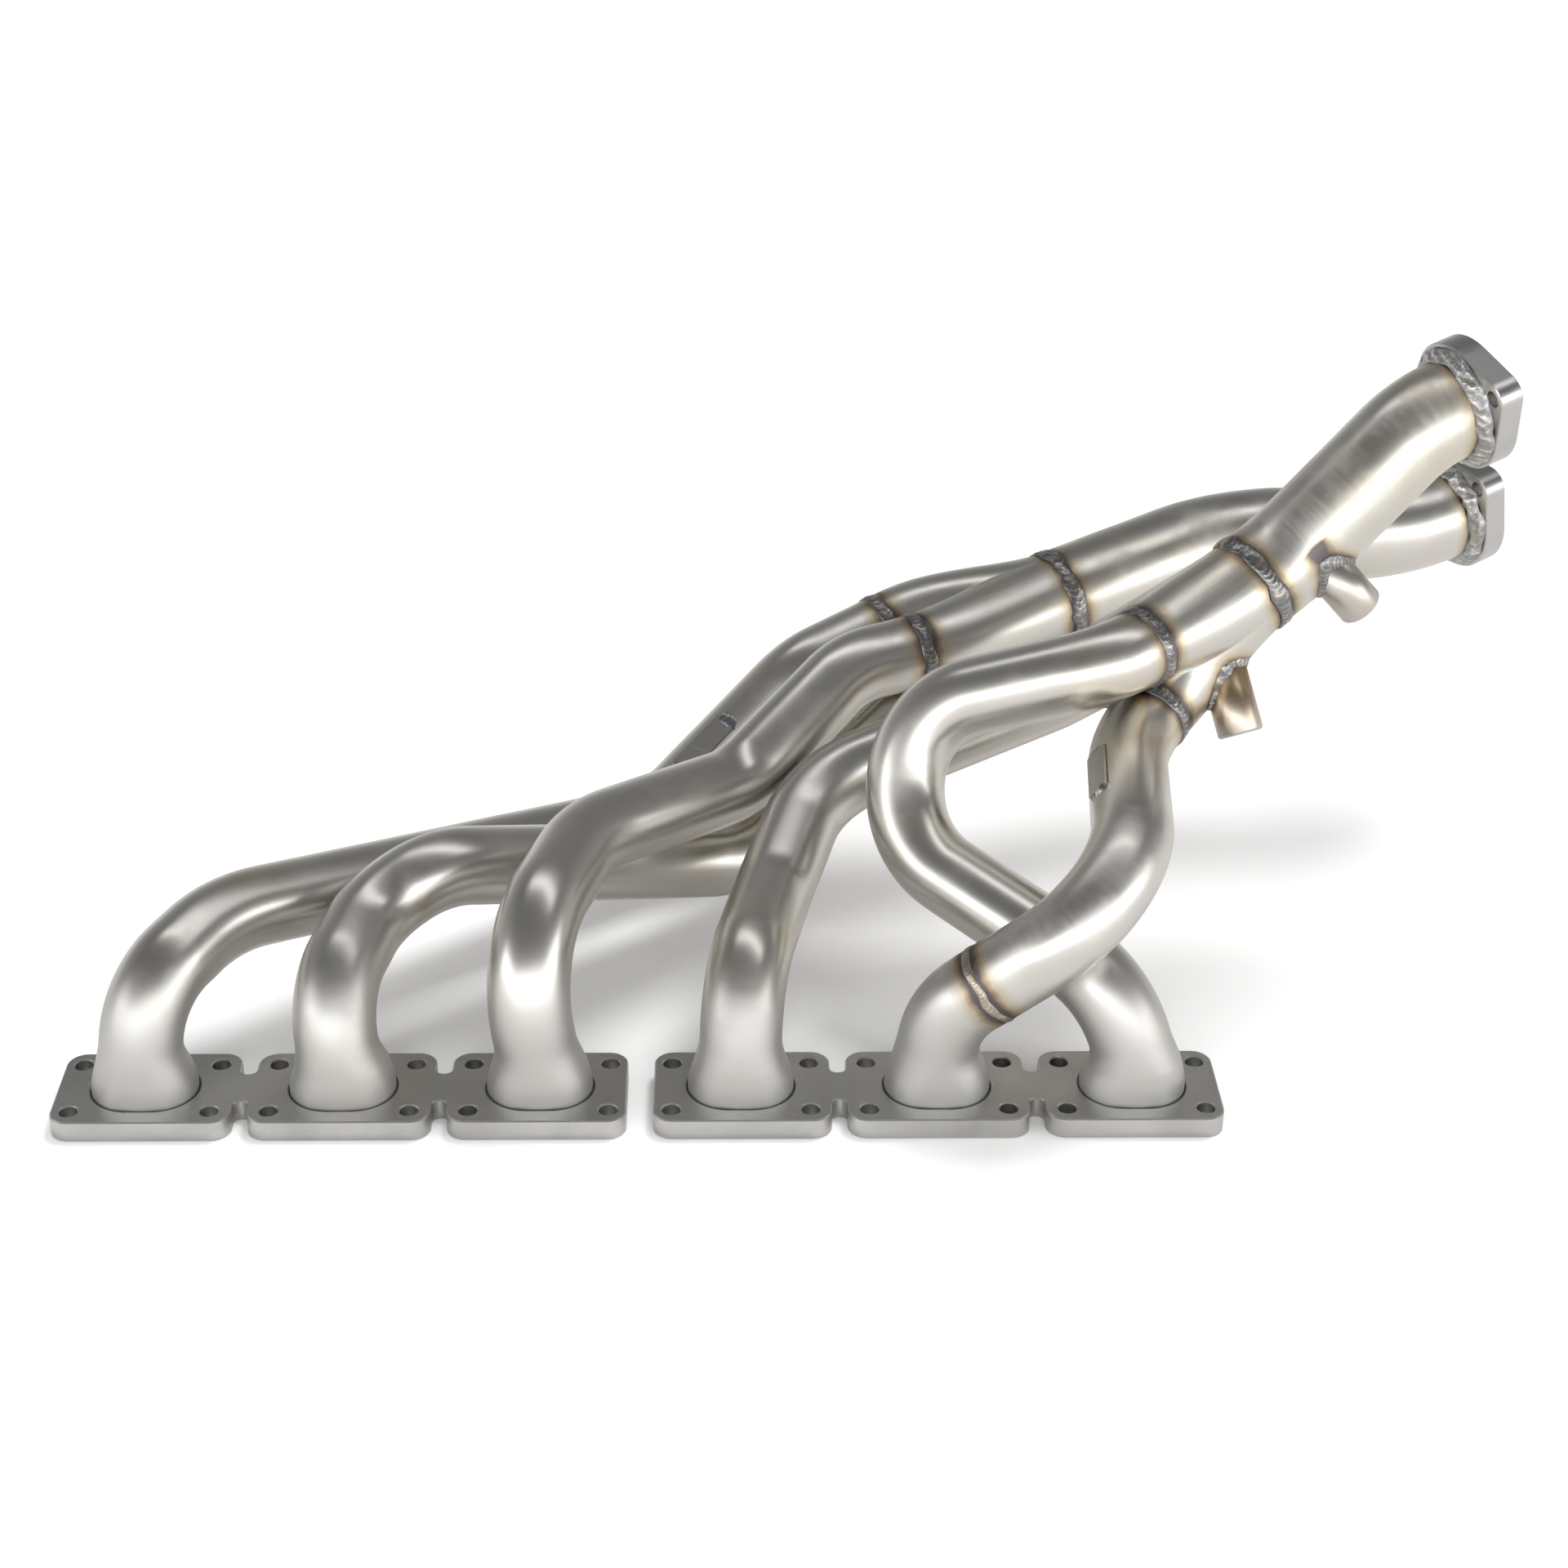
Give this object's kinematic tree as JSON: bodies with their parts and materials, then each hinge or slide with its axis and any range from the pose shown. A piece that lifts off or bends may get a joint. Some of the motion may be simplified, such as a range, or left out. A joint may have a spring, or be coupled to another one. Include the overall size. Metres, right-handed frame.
{
  "type": "exhaust manifold",
  "caption": "Tubular stainless exhaust manifold for an in-line engine: bent primary tubes from bolted port flanges merge into collectors with outlet pipes, flanges and sensor bungs.",
  "frame": {"origin": "centre of port 1, in the plane of the cylinder head face", "axes": "+X along the row of ports towards the outlets, +Y away from the ports towards the outlet side, +Z out of the cylinder head"},
  "size_m": [0.7259, 0.3851, 0.3029],
  "materials": {
    "blasted_flange_steel": "satin",
    "stainless_tube": "satin",
    "stainless_collector": "satin",
    "outlet_flange_steel": "machined",
    "weld_metal": "rippled",
    "pale_weld_metal": "rippled",
    "bung_steel": "turned",
    "plate_steel": "satin"
  },
  "bodies": {
    "root": {"collector_sensor_bung": "bung_steel", "collector_sensor_bung_weld": "weld_metal", "collector_weld_1": "weld_metal", "collector_weld_2": "weld_metal", "collector_weld_3": "weld_metal", "collector_weld_4": "weld_metal", "collector_weld_5": "weld_metal", "collector_weld_6": "weld_metal", "front_collector": "stainless_collector", "front_flange_seat_weld": "weld_metal", "front_flange_weld": "pale_weld_metal", "front_name_plate": "plate_steel", "front_name_plate_welds": "weld_metal", "front_outlet_flange": "outlet_flange_steel", "front_outlet_pipe": "stainless_tube", "front_outlet_weld": "weld_metal", "front_port_flange": "blasted_flange_steel", "outlet_sensor_bung": "bung_steel", "outlet_sensor_bung_weld": "weld_metal", "port_weld_1": "weld_metal", "port_weld_2": "weld_metal", "port_weld_3": "weld_metal", "port_weld_4": "weld_metal", "port_weld_5": "weld_metal", "port_weld_6": "weld_metal", "primary_tube_1": "stainless_tube", "primary_tube_2": "stainless_tube", "primary_tube_3": "stainless_tube", "primary_tube_4": "stainless_tube", "primary_tube_5_elbow": "stainless_tube", "primary_tube_5_upper": "stainless_tube", "primary_tube_6": "stainless_tube", "rear_collector": "stainless_collector", "rear_flange_seat_weld": "weld_metal", "rear_flange_weld": "pale_weld_metal", "rear_name_plate": "plate_steel", "rear_name_plate_welds": "weld_metal", "rear_outlet_flange": "outlet_flange_steel", "rear_outlet_pipe": "stainless_tube", "rear_outlet_weld": "weld_metal", "rear_port_flange": "blasted_flange_steel", "tube_5_joint_weld": "weld_metal"}
  },
  "joints": []
}
